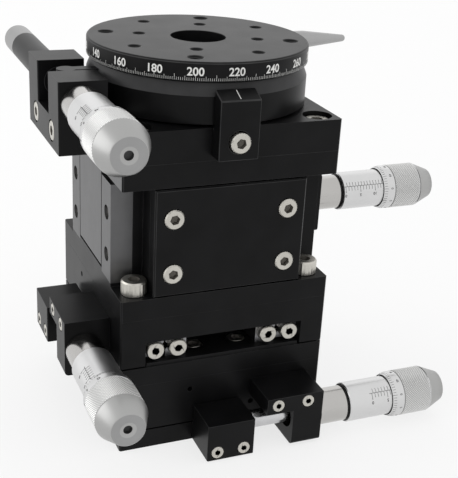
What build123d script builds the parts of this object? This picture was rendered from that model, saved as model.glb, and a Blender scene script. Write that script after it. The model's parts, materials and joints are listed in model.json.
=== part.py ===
"""A four-axis positioning stage: an X slide, a Y slide, a wedge lift and a rotation stage, stacked.

Millimetres. +X points along the X slide towards its micrometer head, +Z points up, and the front
of the stack is its -Y side. The origin is the centre of the base's bottom face.
"""

import os
from math import sqrt
from typing import NamedTuple

from build123d import *

os.makedirs("parts", exist_ok=True)

# ---------------------------------------------------------------- driving dimensions
side = 60.0  # every plate is a square of this size
mount_spacing = 50.0  # corner screws of every plate, on a square
edge_chamfer = 0.4  # broken outer edges of the plates
running_gap = 0.5  # between plates that slide past each other
bearing_gap = 0.05  # between a shaft or hub and its bore
thread_gap = 0.05  # between a screw's shank and its hole
seat_gap = 0.02  # between a roller and its track, or a pressed shank and its bore

# One linear slide, in its own frame: travel along X, top face at slide_height
slide_height = 20.0
flange_height = 5.5
pad_height = 6.5
plate_bottom = 13.0
skirt_width = 7.0
skirt_bottom = 6.0
rail_width = 6.0
rail_height = 6.0
rail_length = 54.0
rail_seat_gap = 0.1  # between an outer rail and its skirt
roller_diameter = 2.0
roller_pitch = 4.0
rollers_per_row = 10
cage_thickness = 0.3
cage_height = 3.8
cage_window = 3.0
spring_pin_reach = 18.0
spring_pin_radius = 1.0
spring_radius = 2.2
spring_wire = 0.7
channel_screw_x = 22.0
channel_screw_gap = 1.15  # between a channel screw's head and the rail
slide_travel = 6.5

# Side brackets of a slide, beyond its -Y side
bracket_depth = 12.6
head_reach = 7.3  # micrometer axis beyond the slide's side
head_height = 8.2  # micrometer axis above the slide's bottom face
anvil_start = -8.8
anvil_end = 5.0
anvil_bottom = 0.5
anvil_top = 11.5
anvil_pad = 0.5
clamp_bar_start = 8.4
clamp_start = 16.5
clamp_end = 25.5
clamp_bottom = 0.7
clamp_bar_gap = 0.4  # between the anvil's top and the clamp's bar, which passes over it
clamp_top = 16.8
bracket_relief = 0.6
bracket_rounding = 1.2
y_head_shift = -5.5  # the Y slide's brackets sit this far towards the back

# Micrometer head, measured from the clamp's outer face
shank_radius = 3.9
stem_radius = 5.1
stem_length = 8.7
ring_radius = 4.5
sleeve_start = 9.7
sleeve_radius = 5.7
thimble_start = 23.0
thimble_bevel = 1.6
thimble_radius = 6.75
thimble_bore = 6.0
thimble_clearance = 0.2
cone_start = 35.6
cone_radius = 4.4
head_end = 41.1
spindle_radius = 2.5

# Wedge lift, from its bottom face at lift_bottom
lift_flange = 6.0
lift_floor = 8.0
lift_height = 43.0
lift_plate = 6.5
lift_rise = 6.5
wall_top = 35.5
notch_gap = 0.3  # between a corner screw's head and the housing
notch_side_gap = 1.5
pillar_inner_x = 12.0
pillar_inner_y = 16.0
cover_thickness = 4.0
cover_bottom = 6.1
cover_top = 36.0
cover_screw_x = 16.0
cover_screw_low = 12.5
cover_screw_high = 27.9
right_wall = 6.5
leg_half_width = 11.0
leg_thickness = 9.0
guide_strip_width = 8.5
guide_strip_depth = 6.0
guide_line = 3.0  # rollers of the upright guide, in from the left face
guide_screw_y = 16.0
guide_screw_low = 14.0
guide_screw_high = 26.0
guide_rollers_per_row = 5
wedge_start = -6.0
wedge_end = 21.5
wedge_tip = 3.0
wedge_half_width = 9.0
wedge_slope = 0.5  # rise for each millimetre of slide
needle_length = 14.0
floor_needles = 7
lift_head_height = 19.0
lift_clamp_depth = 7.6
lift_clamp_width = 16.0
lift_clamp_low = 10.0
lift_clamp_high = 28.0
lift_spring_x = 2.0
lift_spring_y = 12.5

# Rotation stage, from its bottom face
turn_plate = 8.6
turn_height = 25.0
dial_radius = 30.0
dial_height = 5.1
dial_bore = 7.5
hub_radius = 24.2
hub_bottom = 10.0
hub_cavity = 20.4
hub_cavity_top = 15.5
ring_bottom = 9.2
ring_top = 19.6
ring_cone_start = 16.4
ring_cone_radius = 28.7
race_inner_radius = 12.0
race_outer_radius = 20.0
race_line = 16.0
race_wall = 2.2
race_bottom = 9.0
race_height = 5.0
race_rollers = 24
tapped_outer_circle = 50.0
tapped_middle_circle = 45.0
tapped_inner_circle = 32.0
m4_tap_radius = 1.65
m3_tap_radius = 1.25
tap_chamfer = 0.6
dial_turn = -22.0  # where the dial stands
arm_reach = 7.0  # the arm's round end and the micrometer axis, beyond the plate's side
arm_start_y = -2.8
arm_half_width = 2.6
arm_neck = 0.9  # how far the arm is cut back on each side, inside its round end
contact_gap = 0.05  # between the arm and what bears on it
arm_top = 18.4
turn_bracket_length = 34.0
turn_bracket_gap = 12.0
turn_bracket_bar = 7.7
turn_bracket_top = 18.6
turn_bracket_bottom = -0.4
turn_head_height = 12.8
plunger_radius = 4.2
plunger_length = 30.0
plunger_cap_length = 13.0
plunger_pin_radius = 1.5
index_start = -6.7
index_end = 4.1
index_depth = 5.0
index_bottom = 1.2
index_front_top = 16.7
index_back_top = 18.6
index_screw_x = -1.3
index_screw_height = 6.0
lever_x = 14.0
lever_y = 32.5
lever_height = 15.5
lever_hub_radius = 3.4
lever_hub_length = 6.0
lever_straight = 34.0
lever_stud_depth = 7.0
boss_width = 9.0
boss_wall = 3.8
lever_root_radius = 2.7
lever_tip_radius = 1.1
lever_tip_x = 63.0
lever_stud_radius = 2.0


class Screw(NamedTuple):
    """A socket head screw's radii and heights."""

    head_radius: float
    head_height: float
    shank_radius: float
    socket_radius: float
    socket_depth: float


m4_cap = Screw(3.5, 4.0, 2.0, 1.7, 2.0)
m3_cap = Screw(2.75, 3.0, 1.5, 1.4, 1.5)
m2_cap = Screw(1.9, 2.0, 1.0, 0.85, 1.0)
stop_screw = Screw(2.6, 2.4, 1.25, 1.15, 1.2)

# ---------------------------------------------------------------- worked out from those
sleeve_end = thimble_start + slide_travel + thimble_clearance
thimble_wall = sleeve_end + slide_travel + thimble_clearance
short_sleeve_end = thimble_wall - lift_rise / wedge_slope - thimble_clearance
half = side / 2
corner = mount_spacing / 2
skirt_inner = half - skirt_width
pad_half_width = skirt_inner - running_gap
roller_line = skirt_inner - rail_seat_gap - rail_width - running_gap / 2  # from the centre line
inner_rail = roller_line - running_gap / 2 - rail_width
channel_screw_y = inner_rail - channel_screw_gap - m3_cap.head_radius
outer_rail = roller_line + running_gap / 2
groove_height = (pad_height + plate_bottom) / 2
groove_side = roller_diameter + 2 * seat_gap
stop_screw_inner = inner_rail + rail_width / 2
stop_screw_outer = outer_rail + rail_width / 2
channel_counterbore = m3_cap.head_height + 0.2
bracket_front = half + bracket_depth
head_offset = half + head_reach
clamp_bar_bottom = anvil_top + clamp_bar_gap
turn_head_x = half + arm_reach
shank_bore = shank_radius + seat_gap
spindle_bore = spindle_radius + bearing_gap
notch_x = half - corner + m4_cap.head_radius + notch_gap
notch_y = half - corner + m4_cap.head_radius + notch_side_gap
cover_width = 2 * (half - notch_x)
dial_low = turn_height - dial_height
boss_face = lever_y - lever_hub_length / 2 - running_gap
lift_bottom = 2 * slide_height
turn_bottom = lift_bottom + lift_height
top = turn_bottom + turn_height

base_frame = Plane.XY
y_frame = Plane(origin=(0, 0, slide_height), x_dir=(0, -1, 0), z_dir=(0, 0, 1))
lift_frame = Plane.XY.offset(lift_bottom)
turn_frame = Plane.XY.offset(turn_bottom)


# ---------------------------------------------------------------- shared operations
def save(piece, name):
    """Labels a finished piece and writes it."""
    piece.label = name
    export_step(piece, f"parts/{name}.step")


def local_plane(frame, point, normal, across):
    """A plane at a point of a frame. The point, the normal and the X direction are in that frame."""
    return Plane(
        origin=frame.from_local_coords(Vector(*point)),
        x_dir=frame.from_local_coords(Vector(*across)) - frame.origin,
        z_dir=frame.from_local_coords(Vector(*normal)) - frame.origin,
    )


def front_of(frame, x, y, z):
    """A plane that faces a frame's -Y side, with X to the right and Z up."""
    return local_plane(frame, (x, y, z), (0, -1, 0), (1, 0, 0))


def end_of(frame, x, y, z, way=1):
    """A plane that faces along a frame's X, the way given."""
    return local_plane(frame, (x, y, z), (way, 0, 0), (0, way, 0))


def turned(seat, outline):
    """A turned piece: its outline is (distance along the seat's normal, radius) corners."""
    section = Plane(origin=seat.origin, x_dir=seat.z_dir, z_dir=seat.y_dir)
    with BuildPart() as piece:
        with BuildSketch(section):
            with BuildLine():
                Polyline(*outline, close=True)
            make_face()
        revolve(axis=Axis(seat.origin, seat.z_dir))
    return piece.part


def cap_screws(seats, screw, shank_length):
    """Socket head screws. Each seat is the plane under a head, and its normal points out through it."""
    with BuildPart() as screws:
        for seat in seats:
            with BuildSketch(seat):
                Circle(screw.head_radius)
            extrude(amount=screw.head_height)
            with BuildSketch(seat.offset(screw.head_height)):
                RegularPolygon(screw.socket_radius, 6)
            extrude(amount=-screw.socket_depth, mode=Mode.SUBTRACT)
            with BuildSketch(seat):
                Circle(screw.shank_radius)
            extrude(amount=-shank_length)
    return screws.part


def drill(plane, points, radius, depth):
    """Round holes into the part being built, from a plane against its normal."""
    with BuildSketch(plane) as holes:
        with Locations(*points):
            Circle(radius)
    extrude(holes.sketch, amount=-depth, mode=Mode.SUBTRACT)


def crossed_rollers(frame, rows, length):
    """Short rollers in rows of (centre, along) pairs, each turned 90 degrees to the one before it."""
    with BuildPart() as rollers:
        for centres, sideways in rows:
            for number, centre in enumerate(centres):
                lean = 1 if number % 2 else -1
                start = [c - length / 2 * d for c, d in zip(centre, sideways(lean))]
                across = sideways(-lean)
                with BuildSketch(local_plane(frame, start, sideways(lean), across)):
                    Circle(roller_diameter / 2)
                extrude(amount=length)
    return rollers.part


def edges_at(piece, frame, place):
    """Edges whose middle has the place's Y and Z in a frame."""

    def is_there(edge):
        middle = frame.to_local_coords(edge.center())
        return abs(middle.Y - place.Y) < 0.01 and abs(middle.Z - place.Z) < 0.01

    return piece.edges().filter_by(is_there)


def four_places(x, y):
    """The corners of a rectangle about the centre, from its half sides."""
    return [(way_x * x, way_y * y) for way_x in (-1, 1) for way_y in (-1, 1)]


def seats_on(plane, places, depth=0.0):
    """Seats for screws at places on a plane, sunk by a depth."""
    return [local_plane(plane, (x, y, -depth), (0, 0, 1), (1, 0, 0)) for x, y in places]


def evenly(count, pitch):
    """Places in a row of this many, centred on 0."""
    return [(number - (count - 1) / 2) * pitch for number in range(count)]


# ---------------------------------------------------------------- pieces of one linear slide
def slide_base(frame):
    """Bottom plate: a flange under the skirts and a raised pad that carries the inner rails."""
    with BuildPart() as base:
        with BuildSketch(frame):
            Rectangle(side, side)
        extrude(amount=flange_height)
        upright = base.edges().filter_by(Axis.Z)
        chamfer(upright, edge_chamfer)
        with BuildSketch(frame.offset(flange_height)):
            Rectangle(side - 2 * edge_chamfer, 2 * pad_half_width)
        extrude(amount=pad_height - flange_height)
        with BuildSketch(frame.offset(pad_height)):
            with Locations((-spring_pin_reach, 0)):
                Circle(spring_pin_radius)
        extrude(amount=plate_bottom - running_gap - pad_height)
        drill(frame.offset(flange_height), four_places(corner, corner), m4_tap_radius, flange_height)
        pad = frame.offset(pad_height)
        channel = four_places(channel_screw_x, channel_screw_y)
        drill(pad, channel, m3_cap.shank_radius + 0.2, pad_height)
        drill(pad, channel, m3_cap.head_radius + 0.2, channel_counterbore)
    return base


def slide_carriage(frame):
    """Top plate with a skirt down each side."""
    with BuildPart() as carriage:
        with BuildSketch(frame.offset(plate_bottom)):
            Rectangle(side, side)
        extrude(amount=slide_height - plate_bottom)
        with BuildSketch(frame.offset(skirt_bottom)):
            for way in (-1, 1):
                with Locations((0, way * (half - skirt_width / 2))):
                    Rectangle(side, skirt_width)
        extrude(amount=plate_bottom - skirt_bottom)
        upright = carriage.edges().filter_by(Axis.Z)
        outer = upright.filter_by(lambda edge: abs(abs(frame.to_local_coords(edge.center()).Y) - half) < 0.01)
        chamfer(outer, edge_chamfer)
        with BuildSketch(frame.offset(pad_height + running_gap)):
            with Locations((spring_pin_reach, 0)):
                Circle(spring_pin_radius)
        extrude(amount=plate_bottom - pad_height - running_gap)
    return carriage


def slide_rails(frame, start, low):
    """A pair of rails, each with a V groove for the rollers and a tapped hole in each end."""
    with BuildPart() as rails:
        with BuildSketch(end_of(frame, -rail_length / 2, 0, 0)):
            for way in (-1, 1):
                with Locations((way * (start + rail_width / 2), low + rail_height / 2)):
                    Rectangle(rail_width, rail_height)
                with Locations((way * roller_line, groove_height)):
                    Rectangle(groove_side, groove_side, rotation=45, mode=Mode.SUBTRACT)
        extrude(amount=rail_length)
        middle = start + rail_width / 2
        for way in (-1, 1):
            tip = end_of(frame, way * rail_length / 2, 0, 0, way)
            holes = [(-middle, groove_height), (middle, groove_height)]
            drill(tip, holes, stop_screw.shank_radius + thread_gap, 5.0)
    return rails


def rail_end_seats(frame, distance):
    """The seats of the stop screws in the ends of a pair of rails."""
    return [
        end_of(frame, end * rail_length / 2, way * distance, groove_height, end)
        for end in (-1, 1)
        for way in (-1, 1)
    ]


def slide_rollers(frame):
    """Two rows of crossed rollers between the rails."""
    lean = sqrt(0.5)
    rows = []
    for way in (-1, 1):
        centres = [(x, way * roller_line, groove_height) for x in evenly(rollers_per_row, roller_pitch)]
        rows.append((centres, lambda tilt: (0, lean, tilt * lean)))
    return crossed_rollers(frame, rows, roller_diameter * 0.95)


def slide_cages(frame):
    """Thin strips with a window for each roller."""
    length = rollers_per_row * roller_pitch + 2
    with BuildPart() as cages:
        for way in (-1, 1):
            with BuildSketch(front_of(frame, 0, way * roller_line + cage_thickness / 2, groove_height)):
                Rectangle(length, cage_height)
                with Locations(*[(x, 0) for x in evenly(rollers_per_row, roller_pitch)]):
                    Rectangle(roller_diameter + 0.3, cage_window, mode=Mode.SUBTRACT)
            extrude(amount=cage_thickness)
    return cages


def slide_spring(frame):
    """A close-wound extension spring between the base's pin and the carriage's pin."""
    body_end = spring_pin_reach - 4.0
    eye_radius = spring_pin_radius + 0.15
    middle = local_plane(frame, (0, 0, groove_height), (0, 0, 1), (1, 0, 0))
    with BuildPart() as spring:
        with BuildSketch(end_of(frame, -body_end, 0, groove_height)):
            Circle(spring_radius)
            Circle(spring_radius - spring_wire, mode=Mode.SUBTRACT)
        extrude(amount=2 * body_end)
        with BuildSketch(middle):
            for way in (-1, 1):
                with Locations((way * spring_pin_reach, 0)):
                    Circle(eye_radius + spring_wire)
                with Locations((way * (body_end + spring_pin_reach - eye_radius) / 2, 0)):
                    Rectangle(spring_pin_reach - body_end - eye_radius + 1, spring_wire)
            with Locations((-spring_pin_reach, 0), (spring_pin_reach, 0)):
                Circle(eye_radius, mode=Mode.SUBTRACT)
        extrude(amount=spring_wire / 2, both=True)
        with BuildSketch(middle):
            for way in (-1, 1):
                with Locations((way * (body_end - spring_wire / 2), 0)):
                    Rectangle(spring_wire, 2 * spring_radius - spring_wire)
        extrude(amount=spring_wire / 2, both=True)
    return spring


def anvil_block(frame, shift):
    """The stop block on a slide's base that the spindle bears on."""
    start = anvil_start + shift
    end = anvil_end + shift
    with BuildPart() as anvil:
        with BuildSketch(front_of(frame, 0, -half, 0)):
            with Locations(((start + end) / 2, (anvil_bottom + anvil_top) / 2)):
                Rectangle(end - start, anvil_top - anvil_bottom)
        extrude(amount=bracket_depth)
        along_z = anvil.edges().filter_by(Axis.Z)
        corners = along_z.filter_by(lambda edge: frame.to_local_coords(edge.center()).Y < -half - 1)
        fillet(corners, bracket_rounding / 3)
        with BuildSketch(front_of(frame, 0, -half, 0)):
            with Locations(((start + end) / 2, (flange_height + anvil_top) / 2)):
                Rectangle(end - start, anvil_top - flange_height)
        extrude(amount=bracket_relief, mode=Mode.SUBTRACT)
        with BuildSketch(end_of(frame, end, -head_offset, head_height)):
            Circle(spindle_radius + 0.5)
        extrude(amount=anvil_pad)
        face = front_of(frame, 0, -bracket_front, 0)
        holes = anvil_screw_places(shift)
        drill(face, holes, m2_cap.head_radius + 0.1, m2_cap.head_height)
        drill(face, holes, m2_cap.shank_radius + thread_gap, bracket_depth)
    return anvil


def anvil_screw_places(shift):
    """Screw places on the anvil's front face."""
    middle = (anvil_start + anvil_end) / 2 + shift
    return [(middle - 3.9, 2.8), (middle + 3.9, 2.8)]


def clamp_block(frame, shift):
    """The bracket on a carriage's skirt that grips the micrometer head."""
    start = clamp_start + shift
    end = clamp_end + shift
    bar_start = clamp_bar_start + shift
    with BuildPart() as clamp:
        with BuildSketch(front_of(frame, 0, -half, 0)):
            with Locations(((bar_start + end) / 2, (clamp_bar_bottom + clamp_top) / 2)):
                Rectangle(end - bar_start, clamp_top - clamp_bar_bottom)
            with Locations(((start + end) / 2, (clamp_bottom + clamp_top) / 2)):
                Rectangle(end - start, clamp_top - clamp_bottom)
        extrude(amount=bracket_depth)
        fillet(edges_at(clamp, frame, Vector(0, -bracket_front, clamp_bottom)), bracket_rounding)
        with BuildSketch(front_of(frame, 0, -half, 0)):
            with Locations(((start + end) / 2, (clamp_bottom + skirt_bottom) / 2)):
                Rectangle(end - start, skirt_bottom - clamp_bottom)
        extrude(amount=bracket_relief, mode=Mode.SUBTRACT)
        drill(end_of(frame, end, -head_offset, head_height), [(0, 0)], shank_bore, end - start)
        face = front_of(frame, 0, -bracket_front, 0)
        holes = clamp_screw_places(shift)
        drill(face, holes, m2_cap.head_radius + 0.1, m2_cap.head_height)
        drill(face, holes, m2_cap.shank_radius + thread_gap, bracket_depth)
    return clamp


def clamp_screw_places(shift):
    """Screw places on the clamp's front face."""
    height = (clamp_bar_bottom + clamp_top) / 2
    return [(clamp_bar_start + 3.4 + shift, height), (clamp_end - 4.6 + shift, height)]


def bracket_seats(frame, places):
    """Seats of the bracket screws, sunk into the brackets' front faces."""
    return seats_on(front_of(frame, 0, -bracket_front, 0), places, m2_cap.head_height)


# ---------------------------------------------------------------- pieces of one micrometer head
def head_barrel(seat, shank_length, length):
    """Shank, stem and graduated sleeve. The seat is on the clamp's outer face, facing out."""
    return turned(
        seat,
        [
            (-shank_length, spindle_bore),
            (-shank_length, shank_radius),
            (0, shank_radius),
            (0, stem_radius),
            (stem_length, stem_radius),
            (stem_length, ring_radius),
            (sleeve_start, ring_radius),
            (sleeve_start, sleeve_radius),
            (length, sleeve_radius),
            (length, spindle_bore),
        ],
    )


def head_spindle(seat, tip):
    """The measuring spindle, from its tip into the thimble's end wall."""
    end = thimble_wall + 1.0
    bevel = spindle_radius - 0.3
    return turned(
        seat, [(tip, 0), (tip, bevel), (tip + 0.3, spindle_radius), (end, spindle_radius), (end, 0)]
    )


def head_thimble(seat):
    """The thimble: a cup over the sleeve, bevelled at its front edge and coned at its end."""
    return turned(
        seat,
        [
            (thimble_start, thimble_bore),
            (thimble_start, thimble_bore + 0.1),
            (thimble_start + thimble_bevel, thimble_radius),
            (cone_start, thimble_radius),
            (head_end, cone_radius),
            (head_end, 0),
            (thimble_wall + 1.0 + bearing_gap, 0),
            (thimble_wall + 1.0 + bearing_gap, spindle_bore),
            (thimble_wall, spindle_bore),
            (thimble_wall, thimble_bore),
        ],
    )


# ---------------------------------------------------------------- the X slide and the Y slide
def build_slide(name, frame, shift):
    """Writes every piece that the two slides have in common."""
    mounted = name == "y"
    base = slide_base(frame)
    with base:
        side_face = front_of(frame, 0, -half, 0)
        drill(side_face, anvil_screw_places(shift), m2_cap.shank_radius + thread_gap, 5.5)
    save(base.part, f"{name}_base")

    carriage = slide_carriage(frame)
    with carriage:
        side_face = front_of(frame, 0, -half, 0)
        drill(side_face, clamp_screw_places(shift), m2_cap.shank_radius + thread_gap, 6.0)
        drill(side_face, [(-9.8, 16.5), (8.9, 9.2)], 0.8, 4.0)
        top_face = frame.offset(slide_height)
        corner_hole = m4_cap.shank_radius + thread_gap if mounted else m4_tap_radius
        drill(top_face, four_places(corner, corner), corner_hole, slide_height - skirt_bottom)
        if not mounted:
            crosswise = four_places(channel_screw_y, channel_screw_x)
            drill(top_face, crosswise, m3_cap.shank_radius + thread_gap, 6.0)
    save(carriage.part, f"{name}_carriage")

    save(slide_rails(frame, inner_rail, pad_height).part, f"{name}_inner_rails")
    save(slide_rails(frame, outer_rail, plate_bottom - rail_height).part, f"{name}_outer_rails")
    save(slide_rollers(frame), f"{name}_rollers")
    save(slide_cages(frame).part, f"{name}_roller_cages")
    save(slide_spring(frame).part, f"{name}_return_spring")
    save(anvil_block(frame, shift).part, f"{name}_anvil")
    save(clamp_block(frame, shift).part, f"{name}_head_clamp")

    with BuildPart() as base_screws:
        add(cap_screws(bracket_seats(frame, anvil_screw_places(shift)), m2_cap, bracket_depth + 2.0))
        add(cap_screws(rail_end_seats(frame, stop_screw_inner), stop_screw, 4.5))
        if mounted:
            floor = frame.offset(pad_height - channel_counterbore)
            seats = seats_on(floor, four_places(channel_screw_x, channel_screw_y))
            add(cap_screws(seats, m3_cap, pad_height - channel_counterbore + 5.5))
    save(base_screws.part, f"{name}_base_screws")

    with BuildPart() as carriage_screws:
        add(cap_screws(bracket_seats(frame, clamp_screw_places(shift)), m2_cap, bracket_depth + 3.0))
        add(cap_screws(rail_end_seats(frame, stop_screw_outer), stop_screw, 4.5))
    save(carriage_screws.part, f"{name}_carriage_screws")

    seat = end_of(frame, clamp_end + shift, -head_offset, head_height)
    tip = anvil_end + anvil_pad + seat_gap - clamp_end
    save(head_barrel(seat, clamp_end - clamp_start, sleeve_end), f"{name}_head_barrel")
    save(head_spindle(seat, tip), f"{name}_head_spindle")
    save(head_thimble(seat), f"{name}_head_thimble")


build_slide("x", base_frame, 0.0)
build_slide("y", y_frame, y_head_shift)

# ---------------------------------------------------------------- wedge lift: fixed housing
right_inner = half - right_wall
post_depth = 4.5
post_inner = half - guide_strip_depth - post_depth
post_start = leg_half_width + running_gap + 0.8
strip_bottom = lift_floor - 1.0
strip_top = wall_top - 0.5
guide_side = roller_diameter + 2 * seat_gap
guide_middle = (strip_bottom + strip_top) / 2
strip_inner = leg_half_width + running_gap

with BuildPart() as lift_housing:
    # flange with the corner screw holes
    with BuildSketch(lift_frame):
        Rectangle(side, side)
    extrude(amount=lift_flange)
    chamfer(lift_housing.edges().filter_by(Axis.Z), edge_chamfer)
    # raised floor, the right wall, and a pillar beside each notch
    with BuildSketch(lift_frame.offset(lift_flange)):
        Rectangle(2 * (half - notch_x), 2 * (half - cover_thickness))
        Rectangle(side, 2 * (half - notch_y))
    extrude(amount=lift_floor - lift_flange)
    with BuildSketch(lift_frame.offset(lift_floor)):
        with Locations((half - right_wall / 2, 0)):
            Rectangle(right_wall, 2 * (half - notch_y))
        pillar_x = half - notch_x - pillar_inner_x
        pillar_y = half - cover_thickness - pillar_inner_y
        with Locations(*four_places(pillar_inner_x + pillar_x / 2, pillar_inner_y + pillar_y / 2)):
            Rectangle(pillar_x, pillar_y)
        post_width = half - notch_y - post_start
        for way in (-1, 1):
            with Locations((-post_inner - post_depth / 2, way * (post_start + post_width / 2))):
                Rectangle(post_depth, post_width)
    extrude(amount=wall_top - lift_floor)
    # seats of the guide strips, cut into the raised floor
    with BuildSketch(lift_frame.offset(strip_bottom)):
        for way in (-1, 1):
            with Locations((-(half - guide_strip_depth / 2), way * (strip_inner + guide_strip_width / 2))):
                Rectangle(guide_strip_depth, guide_strip_width)
    extrude(amount=lift_floor - strip_bottom, mode=Mode.SUBTRACT)
    corner_places = four_places(corner, corner)
    drill(lift_frame.offset(lift_flange), corner_places, m4_cap.shank_radius + 0.2, lift_flange)
    # screw holes for the covers, the guide strips and the head clamp
    cover_places = [(way * cover_screw_x, z) for way in (-1, 1) for z in (cover_screw_low, cover_screw_high)]
    cover_back = front_of(lift_frame, 0, -half + cover_thickness, 0)
    drill(cover_back, cover_places, m3_cap.shank_radius + thread_gap, 7.0)
    back_face = local_plane(lift_frame, (0, half - cover_thickness, 0), (0, 1, 0), (-1, 0, 0))
    drill(back_face, cover_places, m3_cap.shank_radius + thread_gap, 7.0)
    strip_places = [(way * guide_screw_y, z) for way in (-1, 1) for z in (guide_screw_low, guide_screw_high)]
    post_face = end_of(lift_frame, -half + guide_strip_depth, 0, 0, -1)
    drill(post_face, strip_places, m2_cap.shank_radius + thread_gap, post_depth - 0.5)
    clamp_heights = (lift_clamp_low + 2.8, lift_clamp_high - 2.8)
    lift_clamp_places = [(way * 5.2, z) for way in (-1, 1) for z in clamp_heights]
    drill(end_of(lift_frame, half, 0, 0), lift_clamp_places, m2_cap.shank_radius + thread_gap, 5.0)
    drill(end_of(lift_frame, half, 0, lift_head_height), [(0, 0)], spindle_radius + 0.4, right_wall)
save(lift_housing.part, "lift_housing")

for cover_name, cover_face in (
    ("lift_front_cover", front_of(lift_frame, 0, -half + cover_thickness, 0)),
    ("lift_rear_cover", back_face),
):
    with BuildPart() as cover:
        with BuildSketch(cover_face):
            with Locations((0, (cover_bottom + cover_top) / 2)):
                Rectangle(cover_width, cover_top - cover_bottom)
        extrude(amount=cover_thickness)
        chamfer(cover.faces().sort_by(Axis(cover_face.origin, cover_face.z_dir))[-1].edges(), edge_chamfer)
        drill(cover_face.offset(cover_thickness), cover_places, m3_cap.shank_radius + 0.1, cover_thickness)
        sunk = m3_cap.head_height - 0.6
        drill(cover_face.offset(cover_thickness), cover_places, m3_cap.head_radius + 0.15, sunk)
    save(cover.part, cover_name)

# Guide strips: the fixed half of the upright crossed-roller guide
with BuildPart() as guide_strips:
    with BuildSketch(lift_frame.offset(strip_bottom)):
        for way in (-1, 1):
            with Locations((-(half - guide_strip_depth / 2), way * (strip_inner + guide_strip_width / 2))):
                Rectangle(guide_strip_depth, guide_strip_width)
            with Locations((-(half - guide_line), way * (leg_half_width + running_gap / 2))):
                Rectangle(guide_side, guide_side, rotation=45, mode=Mode.SUBTRACT)
    extrude(amount=strip_top - strip_bottom)
    strip_face = end_of(lift_frame, -half, 0, 0, -1)
    drill(strip_face, strip_places, m2_cap.shank_radius + 0.1, guide_strip_depth)
    drill(strip_face, strip_places, m2_cap.head_radius + 0.1, m2_cap.head_height + 0.8)
save(guide_strips.part, "lift_guide_strips")

with BuildPart() as lift_screws:
    sink = m3_cap.head_height - 0.6
    for cover_face in (front_of(lift_frame, 0, -half + cover_thickness, 0), back_face):
        seats = seats_on(cover_face.offset(cover_thickness), cover_places, sink)
        add(cap_screws(seats, m3_cap, cover_thickness - sink + 6.0))
    strip_sink = m2_cap.head_height + 0.8
    strip_shank = guide_strip_depth - strip_sink + 3.5
    add(cap_screws(seats_on(strip_face, strip_places, strip_sink), m2_cap, strip_shank))
save(lift_screws.part, "lift_housing_screws")

corner_seats = seats_on(lift_frame.offset(lift_flange), corner_places)
corner_shank = lift_flange + slide_height - plate_bottom - running_gap
save(cap_screws(corner_seats, m4_cap, corner_shank), "lift_corner_screws")

# Head clamp on the right face, with its screws and the micrometer head
lift_clamp_face = end_of(lift_frame, half, 0, 0)
with BuildPart() as lift_clamp:
    with BuildSketch(lift_clamp_face):
        with Locations((0, (lift_clamp_low + lift_clamp_high) / 2)):
            Rectangle(lift_clamp_width, lift_clamp_high - lift_clamp_low)
    extrude(amount=lift_clamp_depth)
    along_x = lift_clamp.edges().filter_by(Axis.X)
    fillet(along_x, bracket_rounding)
    lift_clamp_front = lift_clamp_face.offset(lift_clamp_depth)
    drill(lift_clamp_front, [(0, lift_head_height)], shank_bore, lift_clamp_depth)
    drill(lift_clamp_front, lift_clamp_places, m2_cap.shank_radius + thread_gap, lift_clamp_depth)
    drill(lift_clamp_front, lift_clamp_places, m2_cap.head_radius + 0.1, m2_cap.head_height)
save(lift_clamp.part, "lift_head_clamp")

lift_clamp_seats = seats_on(lift_clamp_front, lift_clamp_places, m2_cap.head_height)
save(cap_screws(lift_clamp_seats, m2_cap, lift_clamp_depth - m2_cap.head_height + 4.0), "lift_clamp_screws")

lift_seat = end_of(lift_frame, half + lift_clamp_depth, 0, lift_head_height)
save(head_barrel(lift_seat, lift_clamp_depth - 0.3, short_sleeve_end), "lift_head_barrel")
save(head_spindle(lift_seat, wedge_end + seat_gap - half - lift_clamp_depth), "lift_head_spindle")
save(head_thimble(lift_seat), "lift_head_thimble")

# ---------------------------------------------------------------- wedge lift: moving pieces
wedge_bottom = lift_floor + roller_diameter
wedge_rise = (wedge_end - wedge_start) * wedge_slope
plate_low = lift_height - lift_plate
slope_clearance = bearing_gap / sqrt(1 + wedge_slope**2)

with BuildPart() as wedge:
    with BuildSketch(front_of(lift_frame, 0, wedge_half_width, 0)):
        with BuildLine():
            Polyline(
                (wedge_start, wedge_bottom),
                (wedge_end, wedge_bottom),
                (wedge_end, wedge_bottom + wedge_tip + wedge_rise),
                (wedge_start, wedge_bottom + wedge_tip),
                close=True,
            )
        make_face()
    extrude(amount=2 * wedge_half_width)
save(wedge.part, "lift_wedge")

with BuildPart() as floor_rollers:
    for x in evenly(floor_needles, roller_pitch):
        centre_x = x + (wedge_start + wedge_end) / 2
        with BuildSketch(front_of(lift_frame, centre_x, needle_length / 2, lift_floor + roller_diameter / 2)):
            Circle(roller_diameter / 2 - seat_gap)
        extrude(amount=needle_length)
save(floor_rollers.part, "lift_floor_rollers")


def slope_height(x):
    """Height of the table's slanted face above a place on the wedge's path, at rest."""
    return wedge_bottom + wedge_tip + (x - wedge_start) * wedge_slope + slope_clearance


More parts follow.
